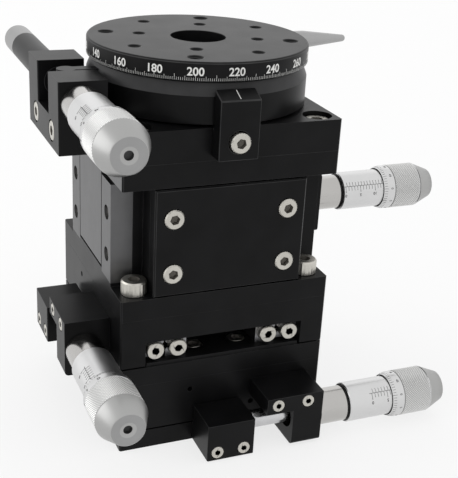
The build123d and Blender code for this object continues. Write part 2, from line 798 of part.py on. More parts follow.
leg_bottom = lift_floor + 0.6
block_left = -(half - leg_thickness) + 2.0
block_right = right_inner - 1.5
slope_start = wedge_start + (leg_bottom - wedge_bottom - wedge_tip - slope_clearance) / wedge_slope
with BuildPart() as lift_table:
    # top plate
    with BuildSketch(lift_frame.offset(plate_low)):
        Rectangle(side, side)
    extrude(amount=lift_plate)
    chamfer(lift_table.edges().filter_by(Axis.Z), edge_chamfer)
    # slanted block that rides on the wedge
    with BuildSketch(front_of(lift_frame, 0, wedge_half_width, 0)):
        with BuildLine():
            Polyline(
                (block_left - 3.0, leg_bottom),
                (slope_start, leg_bottom),
                (block_right, slope_height(block_right)),
                (block_right, plate_low),
                (block_left - 3.0, plate_low),
                close=True,
            )
        make_face()
    extrude(amount=2 * wedge_half_width)
    # guide leg in the left face, with a groove for the rollers down each edge
    with BuildSketch(lift_frame.offset(leg_bottom)):
        with Locations((-(half - leg_thickness / 2), 0)):
            Rectangle(leg_thickness, 2 * leg_half_width)
        for way in (-1, 1):
            with Locations((-(half - guide_line), way * (leg_half_width + running_gap / 2))):
                Rectangle(guide_side, guide_side, rotation=45, mode=Mode.SUBTRACT)
    extrude(amount=plate_low - leg_bottom)
    drill(turn_frame, corner_places, m4_cap.shank_radius + thread_gap, lift_plate)
save(lift_table.part, "lift_table")

lean = sqrt(0.5)
guide_rows = []
for way in (-1, 1):
    guide_centres = [
        (-(half - guide_line), way * (leg_half_width + running_gap / 2), guide_middle + z)
        for z in evenly(guide_rollers_per_row, roller_pitch)
    ]
    guide_rows.append((guide_centres, lambda tilt: (tilt * lean, lean, 0)))
save(crossed_rollers(lift_frame, guide_rows, roller_diameter * 0.95), "lift_guide_rollers")

# Two upright springs pull the table down onto the wedge
with BuildPart() as lift_springs:
    with BuildSketch(lift_frame.offset(lift_floor)):
        with Locations((lift_spring_x, -lift_spring_y), (lift_spring_x, lift_spring_y)):
            Circle(spring_radius)
            Circle(spring_radius - spring_wire, mode=Mode.SUBTRACT)
    extrude(amount=plate_low - lift_floor)
save(lift_springs.part, "lift_springs")

# ---------------------------------------------------------------- rotation stage: fixed pieces
turn_head_seat_y = -turn_bracket_length / 2
turn_sink = m4_cap.head_height + 1.0
spigot_bore = dial_bore + 1.0

with BuildPart() as turn_base:
    with BuildSketch(turn_frame):
        Rectangle(side, side)
    extrude(amount=turn_plate)
    chamfer(turn_base.edges().filter_by(Axis.Z), edge_chamfer)
    with BuildSketch(turn_frame.offset(turn_plate)):
        Circle(race_inner_radius)
    extrude(amount=race_bottom + race_height - turn_plate)
    drill(turn_frame.offset(race_bottom + race_height), [(0, 0)], spigot_bore, race_bottom + race_height)
    drill(turn_frame.offset(turn_plate), corner_places, m4_cap.shank_radius + 0.2, turn_plate)
    drill(turn_frame.offset(turn_plate), corner_places, m4_cap.head_radius + 0.5, turn_sink)
    bracket_screw_places = [(y, 4.0) for y in (-9.0, 9.0)]
    drill(end_of(turn_frame, -half, 0, 0, -1), bracket_screw_places, m3_cap.shank_radius + thread_gap, 6.0)
    turn_front = front_of(turn_frame, 0, -half, 0)
    drill(turn_front, [(index_screw_x, index_screw_height)], m3_cap.shank_radius + thread_gap, 6.0)
save(turn_base.part, "turn_base")

bracket_face = end_of(turn_frame, -bracket_front, 0, 0, -1)
with BuildPart() as turn_screws:
    plate_seats = seats_on(turn_frame.offset(turn_plate), corner_places, turn_sink)
    add(cap_screws(plate_seats, m4_cap, turn_plate - turn_sink + lift_plate - 0.5))
    turn_bracket_seats = seats_on(bracket_face, bracket_screw_places, m3_cap.head_height)
    add(cap_screws(turn_bracket_seats, m3_cap, bracket_depth - m3_cap.head_height + 5.5))
    index_seat = front_of(turn_frame, index_screw_x, -half - index_depth + 1.6, index_screw_height)
    add(cap_screws([index_seat], m3_cap, index_depth - 1.6 + 5.5))
save(turn_screws.part, "turn_base_screws")

# Crossed-roller bearing: an inner race on the spigot and an outer race in the dial's hub
race_middle = race_bottom + race_height / 2
with BuildPart() as turn_bearing:
    with BuildSketch(Plane(origin=turn_frame.origin, x_dir=(1, 0, 0), z_dir=(0, -1, 0))):
        with Locations((race_inner_radius + bearing_gap + race_wall * 0.75, race_middle)):
            Rectangle(race_wall * 1.5, race_height)
        with Locations((race_outer_radius - bearing_gap - race_wall * 0.75, race_middle)):
            Rectangle(race_wall * 1.5, race_height)
        with Locations((race_line, race_middle)):
            Rectangle(groove_side, groove_side, rotation=45, mode=Mode.SUBTRACT)
    revolve(axis=Axis.Z)
with BuildPart() as bearing_rollers:
    for number in range(race_rollers):
        tilt = lean if number % 2 else -lean
        turned_frame = turn_frame.rotated((0, 0, number * 360 / race_rollers))
        length = roller_diameter * 0.9
        start = (race_line - length / 2 * lean, 0, race_middle - length / 2 * tilt)
        with BuildSketch(local_plane(turned_frame, start, (lean, 0, tilt), (0, 1, 0))):
            Circle(roller_diameter / 2 - seat_gap)
        extrude(amount=length)
with turn_bearing:
    add(bearing_rollers.part)
save(turn_bearing.part, "turn_bearing")

# U-shaped bracket on the left: the micrometer head in front of the arm, the plunger behind it
with BuildPart() as turn_bracket:
    with BuildSketch(local_plane(turn_frame, (-bracket_front, 0, 0), (1, 0, 0), (0, 1, 0))):
        with Locations((0, (turn_bracket_bottom + turn_bracket_top) / 2)):
            Rectangle(turn_bracket_length, turn_bracket_top - turn_bracket_bottom)
        with Locations((0, (turn_bracket_bar + turn_bracket_top) / 2)):
            Rectangle(turn_bracket_gap, turn_bracket_top - turn_bracket_bar, mode=Mode.SUBTRACT)
    extrude(amount=bracket_depth)
    uprights = turn_bracket.edges().filter_by(Axis.Z)
    outer_corners = uprights.filter_by_position(Axis.X, -bracket_front - 1, -half - 1)
    fillet(outer_corners, bracket_rounding / 3)
    drill(bracket_face, bracket_screw_places, m3_cap.head_radius + 0.15, m3_cap.head_height)
    drill(bracket_face, bracket_screw_places, m3_cap.shank_radius + 0.1, bracket_depth)
    front_face = front_of(turn_frame, -turn_head_x, turn_head_seat_y, turn_head_height)
    drill(front_face, [(0, 0)], shank_bore, (turn_bracket_length - turn_bracket_gap) / 2)
    rear_point = (-turn_head_x, -turn_head_seat_y, turn_head_height)
    rear_face = local_plane(turn_frame, rear_point, (0, 1, 0), (-1, 0, 0))
    drill(rear_face, [(0, 0)], plunger_radius - 0.3 + seat_gap, (turn_bracket_length - turn_bracket_gap) / 2)
save(turn_bracket.part, "turn_bracket")

upright = (turn_bracket_length - turn_bracket_gap) / 2
save(head_barrel(front_face, upright, sleeve_end), "turn_head_barrel")
spindle_tip = -turn_bracket_length / 2 - (arm_start_y - arm_half_width - contact_gap)
save(head_spindle(front_face, spindle_tip), "turn_head_spindle")
save(head_thimble(front_face), "turn_head_thimble")

pin_gap = plunger_pin_radius + bearing_gap
plunger = turned(
    rear_face,
    [
        (-upright, pin_gap),
        (-upright, plunger_radius - 0.3),
        (0, plunger_radius - 0.3),
        (0, plunger_radius),
        (plunger_length, plunger_radius),
        (plunger_length, pin_gap),
    ],
)
save(plunger, "plunger_body")
with BuildPart() as plunger_cap:
    with BuildSketch(rear_face.offset(plunger_length)):
        Circle(plunger_radius)
    extrude(amount=plunger_cap_length)
    fillet(plunger_cap.edges().sort_by(Axis.Y)[-1], plunger_radius * 0.5)
save(plunger_cap.part, "plunger_cap")
pin_end = 6.0
pin_tip = arm_start_y + arm_half_width + contact_gap - turn_bracket_length / 2
plunger_pin = turned(
    rear_face,
    [
        (pin_tip, 0),
        (pin_tip, plunger_pin_radius - 0.3),
        (pin_tip + 0.3, plunger_pin_radius),
        (pin_end, plunger_pin_radius),
        (pin_end, 0),
    ],
)
save(plunger_pin, "plunger_pin")

# Index block on the front, with a sloping top that carries the index line
with BuildPart() as index_block:
    with BuildSketch(end_of(turn_frame, index_start, 0, 0)):
        with BuildLine():
            Polyline(
                (-half, index_bottom),
                (-half, turn_plate),
                (-half - running_gap, turn_plate),
                (-half - running_gap, index_back_top),
                (-half - index_depth, index_front_top),
                (-half - index_depth, index_bottom),
                close=True,
            )
        make_face()
    extrude(amount=index_end - index_start)
    index_front = front_of(turn_frame, 0, -half - index_depth, 0)
    drill(index_front, [(index_screw_x, index_screw_height)], m3_cap.head_radius + 0.15, 1.6)
    drill(index_front, [(index_screw_x, index_screw_height)], m3_cap.shank_radius + 0.1, index_depth)
save(index_block.part, "index_block")

# ---------------------------------------------------------------- rotation stage: turning pieces
ring_bore = hub_radius + bearing_gap
with BuildPart() as clamp_ring:
    with BuildSketch(Plane(origin=turn_frame.origin, x_dir=(1, 0, 0), z_dir=(0, -1, 0))):
        with BuildLine():
            Polyline(
                (ring_bore, ring_bottom),
                (dial_radius, ring_bottom),
                (dial_radius, ring_cone_start),
                (ring_cone_radius, ring_top),
                (ring_bore, ring_top),
                close=True,
            )
        make_face()
    revolve(axis=Axis.Z)
    # tangent arm with a round end, between the spindle and the plunger
    arm_root = ring_bore + 2
    with BuildSketch(turn_frame.offset(ring_bottom)):
        with Locations((-(turn_head_x + arm_root) / 2, arm_start_y)):
            Rectangle(turn_head_x - arm_root, 2 * (arm_half_width - arm_neck))
        with Locations((-turn_head_x, arm_start_y)):
            Circle(arm_half_width)
    extrude(amount=arm_top - ring_bottom)
    # boss for the clamp lever's stud
    with BuildSketch(turn_frame.offset(lever_height - boss_wall)):
        with Locations((lever_x, (hub_cavity + boss_face) / 2)):
            Rectangle(boss_width, boss_face - hub_cavity)
    extrude(amount=2 * boss_wall)
    drill(turn_frame.offset(ring_top), [(0, 0)], ring_bore, ring_top - ring_bottom)
    stud_face = local_plane(turn_frame, (lever_x, boss_face, lever_height), (0, 1, 0), (-1, 0, 0))
    drill(stud_face, [(0, 0)], lever_stud_radius + bearing_gap, lever_stud_depth + 0.3)
save(clamp_ring.part, "clamp_ring")

# Dial: graduated rim, hub inside the clamp ring, tapped holes and a bore through the middle
with BuildPart() as dial:
    with BuildSketch(Plane(origin=turn_frame.origin, x_dir=(1, 0, 0), z_dir=(0, -1, 0))):
        with BuildLine():
            Polyline(
                (hub_cavity, hub_bottom),
                (hub_radius, hub_bottom),
                (hub_radius, dial_low),
                (dial_radius, dial_low),
                (dial_radius, turn_height),
                (dial_bore, turn_height),
                (dial_bore, hub_cavity_top),
                (hub_cavity, hub_cavity_top),
                close=True,
            )
        make_face()
    revolve(axis=Axis.Z)
    rim = dial.edges().filter_by(GeomType.CIRCLE).filter_by(lambda edge: edge.radius > dial_radius - 0.01)
    chamfer(rim, edge_chamfer)
    dial_face = Plane.XY.offset(top).rotated((0, 0, dial_turn))
    thick = turn_height - hub_cavity_top
    for circle, radius, first in (
        (tapped_outer_circle, m4_tap_radius, 0.0),
        (tapped_middle_circle, m3_tap_radius, 45.0),
        (tapped_inner_circle, m3_tap_radius, 0.0),
    ):
        depth = dial_height - 0.5 if circle / 2 + radius > hub_cavity else thick
        with BuildSketch(dial_face):
            with PolarLocations(circle / 2, 4, start_angle=first):
                Circle(radius)
        extrude(amount=-depth, mode=Mode.SUBTRACT)
    mouths = dial.faces().sort_by(Axis.Z)[-1].edges().filter_by(lambda edge: edge.radius < 2)
    chamfer(mouths, tap_chamfer)
save(dial.part, "dial")

# Clamp lever: a stud in the boss, a hub behind it and a tapered arm to the right
arm_seat = end_of(turn_frame, lever_x, lever_y, lever_height)
lever_reach = lever_tip_x - lever_x
with BuildPart() as lever:
    with BuildSketch(stud_face.offset(running_gap)):
        Circle(lever_hub_radius)
    extrude(amount=lever_hub_length)
    chamfer(lever.edges().filter_by(GeomType.CIRCLE), edge_chamfer)
    with BuildSketch(stud_face.offset(running_gap)):
        Circle(lever_stud_radius)
    extrude(amount=-lever_stud_depth - running_gap)
    with BuildSketch(Plane(origin=arm_seat.origin, x_dir=arm_seat.z_dir, z_dir=(0, 1, 0))):
        with BuildLine():
            tip_start = (lever_reach - lever_tip_radius, lever_tip_radius)
            Polyline((0, 0), (0, lever_root_radius), (lever_straight, lever_root_radius), tip_start)
            RadiusArc(tip_start, (lever_reach, 0), lever_tip_radius)
            Line((lever_reach, 0), (0, 0))
        make_face()
    revolve(axis=Axis(arm_seat.origin, arm_seat.z_dir))
save(lever.part, "clamp_lever")
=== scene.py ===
import json
import math

import bmesh
import bpy
from mathutils import Matrix, Vector


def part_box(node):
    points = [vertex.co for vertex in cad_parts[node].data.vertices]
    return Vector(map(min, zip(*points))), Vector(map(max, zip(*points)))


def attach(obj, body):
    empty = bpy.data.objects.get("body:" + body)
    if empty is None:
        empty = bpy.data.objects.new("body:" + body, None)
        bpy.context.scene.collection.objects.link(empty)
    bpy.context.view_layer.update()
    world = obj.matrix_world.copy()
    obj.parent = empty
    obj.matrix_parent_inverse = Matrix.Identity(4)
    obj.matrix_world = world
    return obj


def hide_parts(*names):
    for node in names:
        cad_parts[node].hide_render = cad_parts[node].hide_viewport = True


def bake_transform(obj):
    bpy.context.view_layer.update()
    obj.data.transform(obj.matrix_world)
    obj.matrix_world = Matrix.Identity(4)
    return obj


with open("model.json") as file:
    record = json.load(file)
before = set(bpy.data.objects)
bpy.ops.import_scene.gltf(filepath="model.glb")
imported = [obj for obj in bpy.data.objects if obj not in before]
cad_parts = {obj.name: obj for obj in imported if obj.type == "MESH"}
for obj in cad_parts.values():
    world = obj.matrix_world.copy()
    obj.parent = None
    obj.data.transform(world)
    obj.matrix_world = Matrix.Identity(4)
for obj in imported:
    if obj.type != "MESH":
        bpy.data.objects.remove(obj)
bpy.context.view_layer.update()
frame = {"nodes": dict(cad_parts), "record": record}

# ---------------------------------------------------------------- base plates of the two slides
# Each slide starts with a flat plate milled from aluminium, bead blasted and anodised black. Its
# edges are broken with a small chamfer, where the black has worn a little thin.
mm = 0.001


class Value:
    """An output socket. Sums and products of values are written as Python has them."""

    def __init__(self, nodes, socket):
        self.nodes = nodes
        self.socket = socket

    def math(self, operation, first, second):
        return self.nodes.node("ShaderNodeMath", {"operation": operation}, {0: first, 1: second})

    def __add__(self, other):
        return self.math("ADD", self, other)

    def __radd__(self, other):
        return self.math("ADD", other, self)

    def __mul__(self, other):
        return self.math("MULTIPLY", self, other)

    def __rmul__(self, other):
        return self.math("MULTIPLY", other, self)


class Nodes:
    """A node tree. Its methods add nodes and give back one of their outputs as a Value."""

    def __init__(self, tree):
        self.tree = tree

    def node(self, kind, settings=None, inputs=None, output=0):
        made = self.tree.nodes.new(kind)
        for name, value in (settings or {}).items():
            setattr(made, name, value)
        for name, value in (inputs or {}).items():
            self.fill(made.inputs[name], value)
        return Value(self, made.outputs[output])

    def fill(self, socket, value):
        if isinstance(value, Value):
            self.tree.links.new(value.socket, socket)
        else:
            socket.default_value = value

    def direct_view(self):
        """1 for a ray from the camera, off a glossy surface or through a clear one, and 0 for the rest."""
        camera_ray = self.node("ShaderNodeLightPath", output="Is Camera Ray")
        outputs = camera_ray.socket.node.outputs
        mirrored = Value(self, outputs["Is Glossy Ray"])
        return camera_ray + mirrored + Value(self, outputs["Is Transmission Ray"])


class Finish(Nodes):
    """A procedural finish, which reads its piece's Object coordinates."""

    def __init__(self, name, **sockets):
        self.material = bpy.data.materials.new(name)
        self.material.use_nodes = True
        super().__init__(self.material.node_tree)
        self.surface = self.tree.nodes["Principled BSDF"]
        self.place = self.node("ShaderNodeTexCoord", output="Object")
        for name, value in sockets.items():
            self.set(name.replace("_", " "), value)

    def set(self, name, value):
        self.fill(self.surface.inputs[name], value)

    def noise(self, size, detail=2.0, stretch=(1, 1, 1)):
        """Noise from 0 to 1 whose spots are about this size, made longer along an axis by its stretch."""
        scale = [1 / (size * s) for s in stretch]
        spots = self.node("ShaderNodeMapping", None, {"Vector": self.place, "Scale": scale})
        return self.node("ShaderNodeTexNoise", None, {"Vector": spots, "Scale": 1.0, "Detail": detail})

    def mixed(self, share, first, second):
        """The first colour where the share is 0, and the second where it is 1."""
        colours = {0: share, 6: (*first, 1), 7: (*second, 1)}
        return self.node("ShaderNodeMix", {"data_type": "RGBA"}, colours, output=2)

    def spread(self, value, low, high):
        """A value stretched so that low becomes 0 and high becomes 1."""
        limits = {"Value": value, "From Min": low, "From Max": high}
        return self.node("ShaderNodeMapRange", {"clamp": True}, limits)

    def bump(self, height, depth):
        heights = {"Height": height, "Distance": depth, "Strength": 1.0}
        self.set("Normal", self.node("ShaderNodeBump", None, heights, "Normal"))


def anodised(name, dark, light, roughness, blast=0.004 * mm):
    """Black anodising: colour, gloss and blasted grain all vary a little."""
    finish = Finish(name, IOR=1.22)
    patches = finish.noise(9 * mm, 3.0)
    grain = finish.noise(0.16 * mm, 2.0)
    lines = finish.noise(0.12 * mm, 1.0, stretch=(90, 90, 1))
    finish.set("Base Color", finish.mixed(finish.spread(patches, 0.3, 0.7), dark, light))
    finish.set("Roughness", roughness - 0.04 + patches * 0.08 + grain * 0.03)
    finish.bump(grain * 0.65 + lines * 0.35, blast)
    return finish.material


black = anodised("black_anodised", (0.0035, 0.0035, 0.0037), (0.0065, 0.0065, 0.007), 0.33)
worn_black = anodised("worn_black_edge", (0.022, 0.022, 0.023), (0.05, 0.05, 0.05), 0.36)

body_of = {
    node: body for body, nodes in frame["record"]["behaviour"]["bodies"].items() for node in nodes
}


def takes_place(piece, node):
    """A piece is shown in place of a CAD node, which is hidden."""
    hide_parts(node)
    return piece


def stands_for(piece, node):
    """A piece takes a CAD node's place and rides the node's body."""
    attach(piece, body_of[node])
    return takes_place(piece, node)


def shown(shape, name, *finishes):
    """Makes an object from a finished bmesh."""
    mesh = bpy.data.meshes.new(name)
    shape.to_mesh(mesh)
    shape.free()
    for finish in finishes:
        mesh.materials.append(finish)
    piece = bpy.data.objects.new(name, mesh)
    bpy.context.scene.collection.objects.link(piece)
    return piece


merge_distance = 0.0005 * mm


def broken_edges(
    node, face_finish, edge_finish, width=0.28 * mm, other_finish=None, has_other=None, crease=35
):
    """Shows a CAD node with its edges broken: the new narrow faces take the edge finish. Faces that
    has_other picks take the other finish. The crease is the least bend, in degrees, that is an edge."""
    shape = bmesh.new()
    shape.from_mesh(frame["nodes"][node].data)
    bmesh.ops.remove_doubles(shape, verts=shape.verts, dist=merge_distance)
    bmesh.ops.dissolve_limit(shape, angle_limit=math.radians(0.5), verts=shape.verts, edges=shape.edges)
    for face in shape.faces:
        face.smooth = True
        face.material_index = 2 if has_other and has_other(face) else 0
    finishes = [face_finish, edge_finish] + ([other_finish] if has_other else [])
    piece = shown(shape, node + "_piece", *finishes)
    edges = piece.modifiers.new("broken edges", "BEVEL")
    edges.width = width
    edges.segments = 2
    edges.limit_method = "ANGLE"
    edges.angle_limit = math.radians(crease)
    edges.material = 1
    flat_faces = piece.modifiers.new("flat faces", "WEIGHTED_NORMAL")
    flat_faces.weight = 100
    return stands_for(piece, node)


for slide in "xy":
    broken_edges(f"{slide}_base", black, worn_black)


# ---------------------------------------------------------------- rails, rollers and cages
# Two pairs of hardened steel rails with ground V grooves carry each slide on crossed rollers, held
# apart by stamped brass cages. The rails and rollers are bare ground steel.
def ground_steel(name, colour, roughness, size=0.05 * mm, stretch=(40, 1, 40)):
    """Bare steel with fine marks, all running one way."""
    finish = Finish(name, Metallic=1.0)
    marks = finish.noise(size, 2.0, stretch)
    cloud = finish.noise(4 * mm, 2.0)
    darker = [c * 0.8 for c in colour]
    finish.set("Base Color", finish.mixed(cloud, darker, colour))
    finish.set("Roughness", roughness + marks * 0.12)
    finish.bump(marks, 0.0012 * mm)
    return finish.material


rail_steel = ground_steel("ground_rail_steel", (0.3, 0.3, 0.31), 0.28)
roller_steel = ground_steel("polished_roller_steel", (0.66, 0.66, 0.67), 0.12, stretch=(1, 1, 1))
cage_brass = ground_steel("stamped_cage_brass", (0.72, 0.52, 0.22), 0.3)


def refinish(node, finish):
    """A CAD node keeps its shape and gets a finish."""
    for material_slot in frame["nodes"][node].material_slots:
        material_slot.material = finish


for slide in "xy":
    refinish(f"{slide}_inner_rails", rail_steel)
    refinish(f"{slide}_outer_rails", rail_steel)
    refinish(f"{slide}_rollers", roller_steel)
    refinish(f"{slide}_roller_cages", cage_brass)

# ---------------------------------------------------------------- return springs of the slides
# An extension spring of music wire, drawn open, pulls the carriage against the micrometer. Its two
# eyes hook over a pin in the base and a pin in the carriage. It is drawn once, where it stands, and
# does not stretch as they move apart.
spring_wire = ground_steel("spring_wire", (0.34, 0.34, 0.35), 0.3, stretch=(1, 1, 1))
right = Vector((1, 0, 0))
back = Vector((0, 1, 0))
up = Vector((0, 0, 1))
wire_radius = 0.36 * mm
coil_radius = 1.84 * mm
coil_pitch = 1.12 * mm
coil_end = 14.0 * mm  # from the spring's middle, as the next is
eye_distance = 18.0 * mm
eye_radius = 1.52 * mm
eye_turns = 0.96


def edges_at(verts):
    """The edges that end at these corners, each once and always in the same order."""
    return list(dict.fromkeys(edge for vert in verts for edge in vert.link_edges))


def wound_wire(shape, start, axis, radius, pitch, turns, wire, steps=18):
    """Winds a round wire about an axis through the start point, and closes its ends."""
    side = axis.orthogonal().normalized()
    across_wire = side.cross(axis).to_track_quat("Z", "Y").to_matrix().to_4x4()
    section = Matrix.Translation(start + side * radius) @ across_wire
    ring = bmesh.ops.create_circle(shape, segments=8, radius=wire, matrix=section)["verts"]
    count = round(steps * turns)
    bmesh.ops.spin(
        shape,
        geom=ring + edges_at(ring),
        cent=start,
        axis=axis,
        angle=2 * math.pi * turns,
        steps=count,
        dvec=axis * (pitch * turns / count),
    )
    bmesh.ops.holes_fill(shape, edges=[edge for edge in shape.edges if edge.is_boundary])


def straight_wire(shape, start, end, wire):
    """A short straight length of wire."""
    run = end - start
    place = Matrix.Translation((start + end) / 2) @ run.to_track_quat("Z", "Y").to_matrix().to_4x4()
    bmesh.ops.create_cone(
        shape, cap_ends=True, segments=8, radius1=wire, radius2=wire, depth=run.length, matrix=place
    )


def smooth(shape, crease=35):
    """Rounded shading, with the edges sharper than the crease kept crisp."""
    bmesh.ops.remove_doubles(shape, verts=shape.verts, dist=merge_distance)
    bmesh.ops.recalc_face_normals(shape, faces=shape.faces)
    for face in shape.faces:
        face.smooth = True
    for edge in shape.edges:
        if len(edge.link_faces) == 2 and edge.calc_face_angle() > math.radians(crease):
            edge.smooth = False


turns = 2 * coil_end / coil_pitch
for slide, along, lower, upper in (("x", right, "base", "x_stage"), ("y", -back, "x_stage", "y_stage")):
    low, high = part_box(f"{slide}_return_spring")
    middle = (low + high) / 2
    shape = bmesh.new()
    wound_wire(shape, middle - along * coil_end, along, coil_radius, coil_pitch, turns, wire_radius)
    for way in (-1, 1):
        eye = middle + along * (way * eye_distance)
        wound_wire(shape, eye, up, eye_radius, 0, eye_turns, wire_radius)
        inner = middle + along * (way * (coil_end - wire_radius))
        straight_wire(shape, inner, eye - along * (way * eye_radius), wire_radius)
        straight_wire(shape, inner - up * coil_radius, inner, wire_radius)
    smooth(shape)
    piece = shown(shape, f"{slide}_return_spring_piece", spring_wire)
    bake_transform(piece)
    takes_place(piece, f"{slide}_return_spring")

# ---------------------------------------------------------------- carriages, anvils and clamps
# The moving plate of each slide with its two skirts, the block on the base that the spindle pushes
# against, and the split block on the skirt that grips the micrometer. All are black anodised.
block_edge = 0.4 * mm
for slide in "xy":
    broken_edges(f"{slide}_carriage", black, worn_black)
    broken_edges(f"{slide}_anvil", black, worn_black, block_edge)
    broken_edges(f"{slide}_head_clamp", black, worn_black, block_edge)

# ---------------------------------------------------------------- socket head screws of the slides
# Small stainless cap screws: a knurled head with a broken rim and a hexagon socket, painted dark
# as the shade inside it. They hold the side blocks and the upper slide, and sit as stops in the ends
# of the rails.
screw_steel = ground_steel("stainless_screw", (0.62, 0.60, 0.55), 0.3, 0.08 * mm, (1, 1, 1))
# The socket's walls and floor are painted dark, in patches of lighter and darker shade, as the shade inside
# it.
socket_finish = Finish("socket_shadow", Metallic=0.6)
socket_shade_patches = socket_finish.noise(0.4 * mm)
socket_finish.set("Base Color", socket_finish.mixed(socket_shade_patches, (0.14, 0.13, 0.115), (0.24, 0.225, 0.2)))
socket_finish.set("Roughness", 0.5 + 0.2 * socket_finish.noise(0.3 * mm))
socket_dark = socket_finish.material


def lathed(shape, outline, steps=64):
    """Turns an outline of (radius, height) points about Z and closes it up."""
    verts = [shape.verts.new((radius, 0, height)) for radius, height in outline]
    edges = [shape.edges.new(pair) for pair in zip(verts, verts[1:])]
    bmesh.ops.spin(
        shape,
        geom=verts + edges,
        cent=(0, 0, 0),
        axis=(0, 0, 1),
        angle=2 * math.pi,
        steps=steps,
        use_merge=True,
    )
    bmesh.ops.remove_doubles(shape, verts=shape.verts, dist=merge_distance)


head_turns = 48
head_groove = 0.965
socket_slot = 1


def cap_screw(radius, height, socket, depth, shank, length):
    """One screw as a mesh: the seat under its head is at Z 0, and the head rises from it. Every
    other column of the head's side is drawn in, as its knurl."""
    shape = bmesh.new()
    rim = 0.12 * radius
    lathed(
        shape,
        [
            (0, -length),
            (shank * 0.8, -length),
            (shank, -length + shank * 0.2),
            (shank, 0),
            (radius - rim * 0.4, 0),
            (radius, rim * 0.4),
            (radius, height - rim),
            (radius - rim, height),
        ],
        steps=head_turns,
    )
    for vert in shape.verts:
        reach = vert.co.xy.length
        if abs(reach - radius) < 0.01 * radius and 0 < vert.co.z < height:
            turn = round(math.atan2(vert.co.y, vert.co.x) / (2 * math.pi) * head_turns)
            if turn % 2:
                vert.co.xy *= head_groove
    mouth = [edge for edge in shape.edges if edge.is_boundary]
    hexagon = bmesh.ops.create_circle(
        shape, segments=6, radius=socket, matrix=Matrix.Translation((0, 0, height))
    )["verts"]
    corners = edges_at(hexagon)
    bmesh.ops.bridge_loops(shape, edges=mouth + corners)
    for drop, share in ((depth, 1.0), (depth * 0.25, 0.02)):
        made = bmesh.ops.extrude_edge_only(shape, edges=corners)["geom"]
        verts = [part for part in made if isinstance(part, bmesh.types.BMVert)]
        corners = [part for part in made if isinstance(part, bmesh.types.BMEdge)]
        for face in {face for edge in corners for face in edge.link_faces}:
            face.material_index = socket_slot
        bmesh.ops.translate(shape, verts=verts, vec=(0, 0, -drop))
        bmesh.ops.scale(shape, verts=verts, vec=(share, share, 1))
    bmesh.ops.holes_fill(shape, edges=shape.edges)
    smooth(shape, 30)
    mesh = bpy.data.meshes.new("cap_screw")
    shape.to_mesh(mesh)
    shape.free()
    return mesh


def facing(seat, out, along=None):
    """The place of something made about Z, set on a seat with its Z pointing out."""
    first = (along or out.orthogonal()).normalized()
    second = out.cross(first).normalized()
    turn = Matrix((first, second, out)).transposed().to_4x4()
    return Matrix.Translation(seat) @ turn


def screw_set(node, screws):
    """Shows a node's screws, given as (mesh, seat, direction out of the head). Each is turned
    another way, as it was left when it was tightened."""
    shape = bmesh.new()
    for number, (mesh, seat, out) in enumerate(screws):
        tightened = Matrix.Rotation(math.radians(23 + 31 * number), 4, "Z")
        placed = mesh.copy()
        placed.transform(facing(seat, out) @ tightened)
        shape.from_mesh(placed)
    return stands_for(shown(shape, node + "_piece", screw_steel, socket_dark), node)


# The radius and height of the head, the radius and depth of its socket, and the radius and length
# of the shank.
m4_screw = cap_screw(3.5 * mm, 4.0 * mm, 1.7 * mm, 2.0 * mm, 1.95 * mm, 9.0 * mm)
m3_screw = cap_screw(2.75 * mm, 3.0 * mm, 1.4 * mm, 1.5 * mm, 1.45 * mm, 6.0 * mm)
m2_screw = cap_screw(1.9 * mm, 2.0 * mm, 0.85 * mm, 1.0 * mm, 0.95 * mm, 9.0 * mm)
stop_screw = cap_screw(2.6 * mm, 2.4 * mm, 1.15 * mm, 1.2 * mm, 1.2 * mm, 4.0 * mm)

block_front = 40.6 * mm  # the seats of the side blocks' screws, from the slide's centre line
anvil_screws = (-5.8 * mm, 2.0 * mm)
anvil_screws_height = 2.8 * mm
clamp_screws = (11.8 * mm, 20.9 * mm)
clamp_screws_height = 14.35 * mm
rail_end = 27.0 * mm
rail_height = 9.75 * mm
inner_rail = 13.4 * mm
outer_rail = 19.9 * mm
channel_x = 22.0 * mm
channel_y = 6.5 * mm
channel_seat = 3.3 * mm
slide_height = 20.0 * mm
upper_blocks_shift = -5.5 * mm
upper_slide = Matrix.Translation((0, 0, slide_height)) @ Matrix.Rotation(math.radians(-90), 4, "Z")

slides = {"x": (Matrix.Identity(4), 0.0), "y": (upper_slide, upper_blocks_shift)}
for slide, (place, shift) in slides.items():
    toward = place.to_3x3()
    front = toward @ -back
    fixed = []
    for x in anvil_screws:
        fixed.append((m2_screw, place @ Vector((x + shift, -block_front, anvil_screws_height)), front))
    moving = []
    for x in clamp_screws:
        moving.append((m2_screw, place @ Vector((x + shift, -block_front, clamp_screws_height)), front))
    for end in (-1, 1):
        for side in (-1, 1):
            out = toward @ (right * end)
            fixed.append((stop_screw, place @ Vector((end * rail_end, side * inner_rail, rail_height)), out))
            moving.append((stop_screw, place @ Vector((end * rail_end, side * outer_rail, rail_height)), out))
            if slide == "y":
                seat = place @ Vector((end * channel_x, side * channel_y, channel_seat))
                fixed.append((m3_screw, seat, up))
    screw_set(f"{slide}_base_screws", fixed)
    screw_set(f"{slide}_carriage_screws", moving)


# ---------------------------------------------------------------- micrometer heads
# Four alike: a chromed stem and a satin sleeve with its scale, a ground spindle, and a matt chromed
# thimble with a bevelled scale edge, a knurled grip and a coned end.
def chrome(name, colour, roughness, size, depth):
    """Chrome plate over a turned or blasted surface."""
    finish = Finish(name, Metallic=1.0)
    grain = finish.noise(size, 2.0)
    cloud = finish.noise(5 * mm, 2.0)
    finish.set("Base Color", finish.mixed(cloud, [c * 0.93 for c in colour], colour))
    finish.set("Roughness", roughness + cloud * 0.06 + grain * 0.04)
    finish.bump(grain, depth)
    return finish.material


